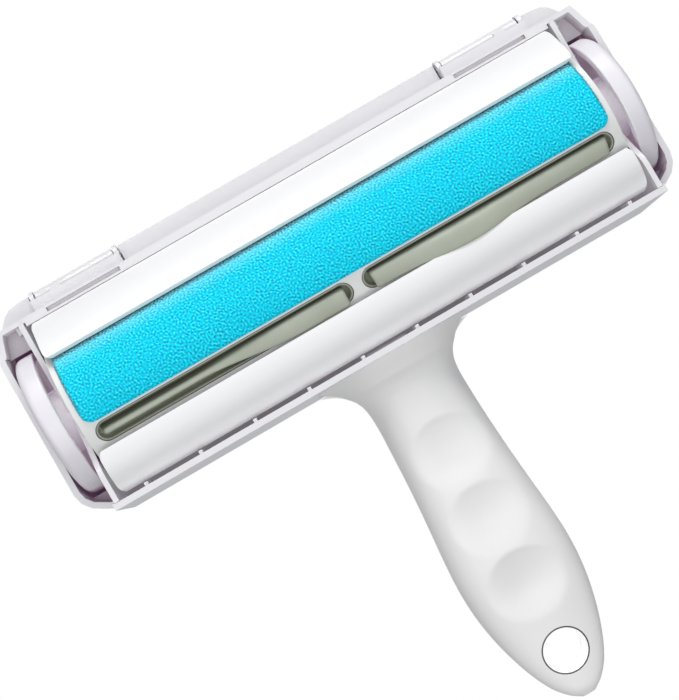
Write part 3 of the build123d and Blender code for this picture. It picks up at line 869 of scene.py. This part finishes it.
def lid_distance(x, y, h, dome, plan):
    """Below zero inside the lid's outer form, about the distance from it in millimetres."""
    turn = np.arctan2(h - LID_H, y - LID_Y)
    crown = 0.7 * np.clip(np.sin(turn), 0, 1) ** 2
    over = np.hypot(h - LID_H, y - LID_Y) - np.interp(turn, *dome) - crown
    qx, qh = np.abs(x) - (HEAD_HALF - LID_ROUND), h - (LID_TOP - LID_ROUND)
    end = np.hypot(np.maximum(qx, 0), np.maximum(qh, 0)) + np.minimum(np.maximum(qx, qh), 0) - LID_ROUND
    past = np.maximum(np.abs(x) - LID_MIDDLE, 0.0)
    side = np.hypot(past, y - LID_Y) - np.interp(np.arctan2(y - LID_Y, past), *plan)
    return rounded_max(rounded_max(over, end, 3.5), side, 1.5)


def lid_reach(starts, ways, dome, plan):
    """Where rays from inside the lid meet its outer form."""
    low, high = np.zeros(len(starts)), np.full(len(starts), 130.0)
    for _ in range(40):
        mid = 0.5 * (low + high)
        p = starts + ways * mid[:, None]
        outside = lid_distance(p[:, 0], p[:, 1], p[:, 2], dome, plan) > 0
        high = np.where(outside, mid, high)
        low = np.where(outside, low, mid)
    return starts + ways * low[:, None]


def lid_rays():
    """Starts and ways of the rays that find the lid's outside: the long middle, then the right and left ends.

    Also the number of rays across the dome, along its middle and round each end.
    """
    across, along, round_end = 65, 49, 49
    lifts = [math.pi * k / (across - 1) for k in range(across)]
    starts, ways = [], []
    for x in np.linspace(-LID_MIDDLE, LID_MIDDLE, along):
        for a in lifts:
            starts.append((x, LID_Y, LID_H))
            ways.append((0, math.cos(a), math.sin(a) + PARTING_SLOPE * math.cos(a)))
    for side in (1, -1):
        for k in range(round_end):
            turn = math.pi / 2 - math.pi * k / (round_end - 1)
            for a in lifts[:across // 2 + 1]:
                out, forward = math.cos(a) * math.cos(turn), math.cos(a) * math.sin(turn)
                starts.append((side * LID_MIDDLE, LID_Y, LID_H))
                ways.append((side * out, forward, math.sin(a) + PARTING_SLOPE * forward))
    return np.array(starts), np.array(ways), (across, along, round_end)


def build_lid_shell(material):
    curve = [tuple(p) for p in smooth_curve(LID_CURVE, 240)]
    dome = polar_table(SKIRT_FRONT + curve + SKIRT_REAR, LID_Y, LID_H)
    plan = polar_table([(x - LID_MIDDLE, y) for x, y in smooth_curve(LID_END, 200)], 0.0, LID_Y)
    starts, ways, (across, along, round_end) = lid_rays()
    found = lid_reach(starts, ways, dome, plan)
    found[:, 2] = np.maximum(found[:, 2], LID_LOW)
    half = across // 2 + 1
    right = along * across
    left = right + round_end * half
    faces = grid_faces(along, across) + grid_faces(round_end, half, start=right)
    faces += [f[::-1] for f in grid_faces(round_end, half, start=left)]
    obj = new_piece("lid_shell", [at(*p) for p in found], faces, material, "lid", "shell_white", ["dust_lid"])
    weld_outwards(obj.data)
    skin = obj.modifiers.new("skin", "SOLIDIFY")
    skin.thickness = LID_WALL * MM
    skin.offset = -1
    for side in (-1, 1):
        x0, x1 = sorted((side * (HINGE_NEAR - HINGE_CLEAR), side * (HINGE_FAR + HINGE_CLEAR)))
        cut(obj, *block(x0, x1, 30.2, 50, -10, 7))
    obj.data.shade_smooth()
    obj.data.set_sharp_from_angle(angle=math.radians(SHARP_ANGLE))


def weld_outwards(mesh):
    """Joins the points that patches share and turns every face outwards."""
    work = bmesh.new()
    work.from_mesh(mesh)
    bmesh.ops.remove_doubles(work, verts=work.verts, dist=0.02 * MM)
    bmesh.ops.recalc_face_normals(work, faces=work.faces)
    top = max(work.faces, key=face_height)
    if top.normal.z < 0:
        bmesh.ops.reverse_faces(work, faces=work.faces)
    work.to_mesh(mesh)
    work.free()


def face_height(face):
    return face.calc_center_median().z


def ledge_front(x):
    """How far the ledge reaches to the front, less towards the lid's rounded ends."""
    return min(36.4, float(np.interp(abs(x), [88, 91.4, 94.4], [36.0, 33.0, 29.0])))


def build_lid_ledges(material):
    """Three strips that close the gap before the frame's front wall."""
    hinge_in, hinge_out = HINGE_NEAR - HINGE_CLEAR, HINGE_FAR + HINGE_CLEAR
    stations = 12
    for label, x0, x1 in (("left", -LEDGE_END, -hinge_out), ("middle", -hinge_in, hinge_in),
                          ("right", hinge_out, LEDGE_END)):
        points = []
        for x in np.linspace(x0, x1, stations):
            front = ledge_front(x)
            points += [at(x, LEDGE_Y, LEDGE_LOW), at(x, front, LEDGE_LOW)]
            points += [at(x, front, LEDGE_HIGH), at(x, LEDGE_Y, LEDGE_HIGH)]
        faces = grid_faces(stations, 4, closed_rows=True) + list(end_caps(4, 4 * (stations - 1)))
        new_piece("lid_ledge_" + label, points, faces, material, "lid", "shell_white", smooth=False)


def build_lid_hinges(material):
    """The hinge leaves and the barrels that turn on the pins."""
    count = 48
    for label, side in (("left", -1), ("right", 1)):
        near, far = HINGE_NEAR + HINGE_POST + LEAF_CLEAR, HINGE_FAR - HINGE_POST - LEAF_CLEAR
        x0, x1 = sorted((side * near, side * far))
        body = prism(LEAF, x0, x1)
        leaf = new_piece("lid_leaf_" + label, *body, material, "lid", "shell_white", smooth=False)
        soften(leaf, MOULD_EDGE)
        bore = PIN_R + PIN_CLEAR
        points = [at(x, HINGE_Y + forward, HINGE_H + up)
                  for x, r in ((x0, bore), (x0, BARREL_R), (x1, BARREL_R), (x1, bore))
                  for forward, up in circle(r, count)]
        faces = grid_faces(4, count, closed_rows=True)
        faces += [(3 * count + k, 3 * count + (k + 1) % count, (k + 1) % count, k) for k in range(count)]
        barrel = new_piece("lid_barrel_" + label, points, faces, material, "lid", "shell_white")
        barrel.data.set_sharp_from_angle(angle=math.radians(SHARP_ANGLE))


def build_lid_tongue(material):
    """The tongue behind the latch bar, with the window that the bar's tip enters."""
    body = block(-6.5, 6.5, -28.3, -26.7, 1.2, 19.5)
    tongue = new_piece("lid_tongue", *body, material, "lid", "shell_white", smooth=False)
    cut(tongue, *block(-4.2, 4.2, -31, -27.5, 3.0, 6.4))


# ---- latch spring --------------------------------------------------------------------------------
SPRING_TURNS, SPRING_R, WIRE_R = 7, 1.25, 0.28
SPRING_FROM, SPRING_TO, SPRING_H = -52.6, -45.3, 4.6


def build_spring(material):
    """The coil that returns the latch, built at one length; it is not made to shorten as the latch slides back."""
    steps, sides = 24 * SPRING_TURNS, 10
    points = []
    for k in range(steps + 1):
        turn = 2 * math.pi * SPRING_TURNS * k / steps
        y = SPRING_FROM + (SPRING_TO - SPRING_FROM) * k / steps
        for outwards, along in circle(WIRE_R, sides):
            r = SPRING_R + outwards
            points.append(at(r * math.cos(turn), y + along, SPRING_H + r * math.sin(turn)))
    faces = grid_faces(steps + 1, sides, closed_rows=True)
    faces += end_caps(sides, steps * sides)
    coil = new_piece("return_coil", points, faces, material, "housing", "spring_steel", ["latch_spring"])
    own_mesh(coil)


# ---- build ---------------------------------------------------------------------------------------
bpy.context.scene.view_settings.view_transform = "Standard"
make_camera()
make_world()
make_floor()
make_lights()
materials = build_materials()
dress_nodes(materials)
build_pile(materials["lint_pile"])
build_fibres(materials["lint_pile"])
build_flaps(materials["flap_rubber"])
build_handle_lower(materials["handle_grey"])
build_lid_shell(materials["shell_white"])
build_lid_ledges(materials["shell_white"])
build_lid_hinges(materials["shell_white"])
build_lid_tongue(materials["shell_white"])
build_spring(materials["spring_steel"])
for name in ("housing_frame", "bearing_plate_left", "bearing_plate_right", "front_lip", "rear_lip"):
    soften(NODES[name], MOULD_EDGE)
